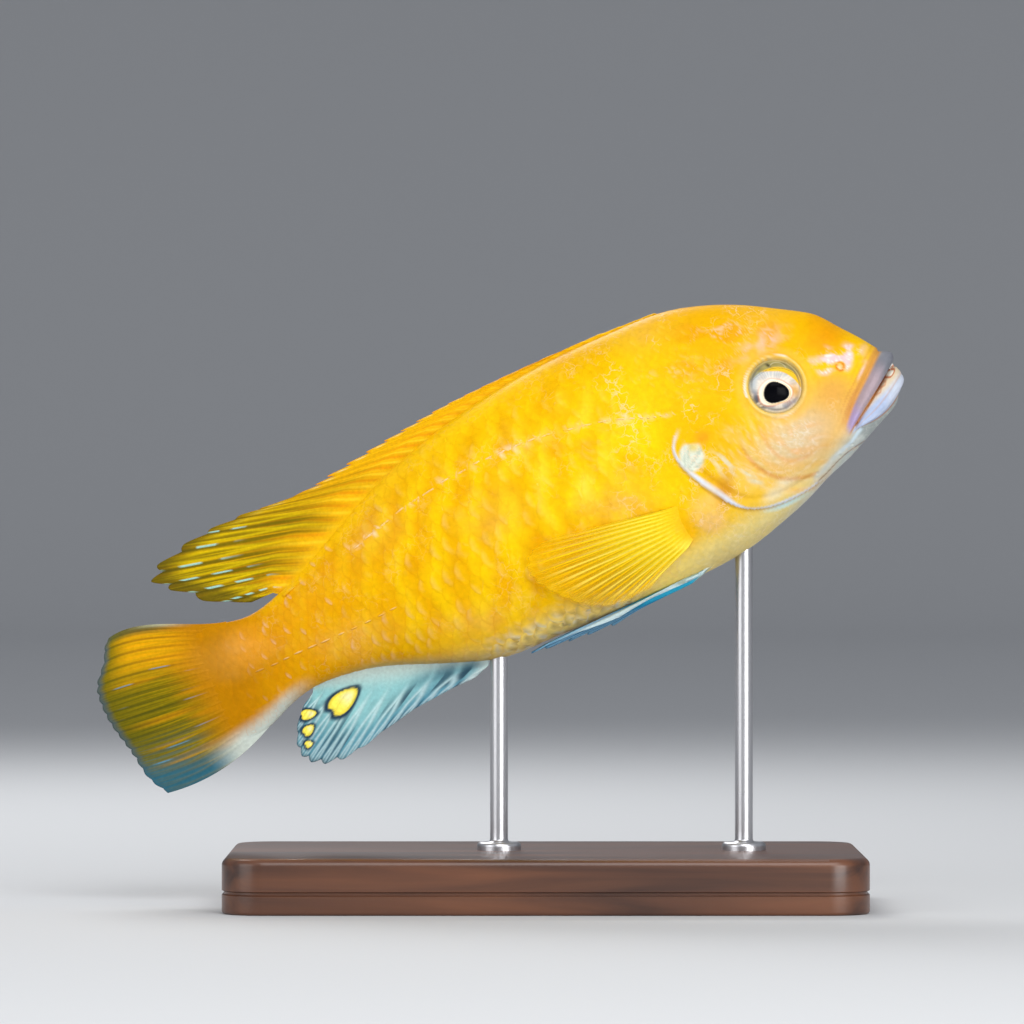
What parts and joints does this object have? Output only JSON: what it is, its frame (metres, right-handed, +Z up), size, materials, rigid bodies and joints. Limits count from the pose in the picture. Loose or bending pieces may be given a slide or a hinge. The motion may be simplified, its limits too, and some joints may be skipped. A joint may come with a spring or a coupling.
{
  "type": "zebra mbuna cichlid model",
  "caption": "Life-size display model of a golden-orange zebra mbuna, swimming nose up with its dorsal fin folded, on steel rods over a wooden base.",
  "frame": {"origin": "centre of the display base's underside", "axes": "+Z up, +X the way the fish's nose points over the base, +Y the fish's left"},
  "size_m": [0.1172, 0.054, 0.0871],
  "materials": {
    "skin": "satin, scaled",
    "lips": "satin",
    "eye": "gloss",
    "fin": "satin, ribbed",
    "pale_fin": "satin, ribbed",
    "wood": "satin lacquer",
    "steel": "brushed"
  },
  "bodies": {
    "root": {"head": "skin", "upper_jaw": "lips", "lower_jaw": "lips", "gill_cover_right": "skin", "gill_cover_left": "skin", "eye_right": "eye", "eye_left": "eye", "trunk": "skin", "tail_stem": "skin", "dorsal_fin_spiny": "fin", "dorsal_fin_soft": "fin", "tail_fin": "fin", "anal_fin": "pale_fin", "pelvic_fin_right": "pale_fin", "pelvic_fin_left": "pale_fin", "pectoral_fin_right": "fin", "pectoral_fin_left": "fin", "stand_base": "wood", "stand_rod_front": "steel", "stand_rod_rear": "steel"}
  },
  "joints": []
}
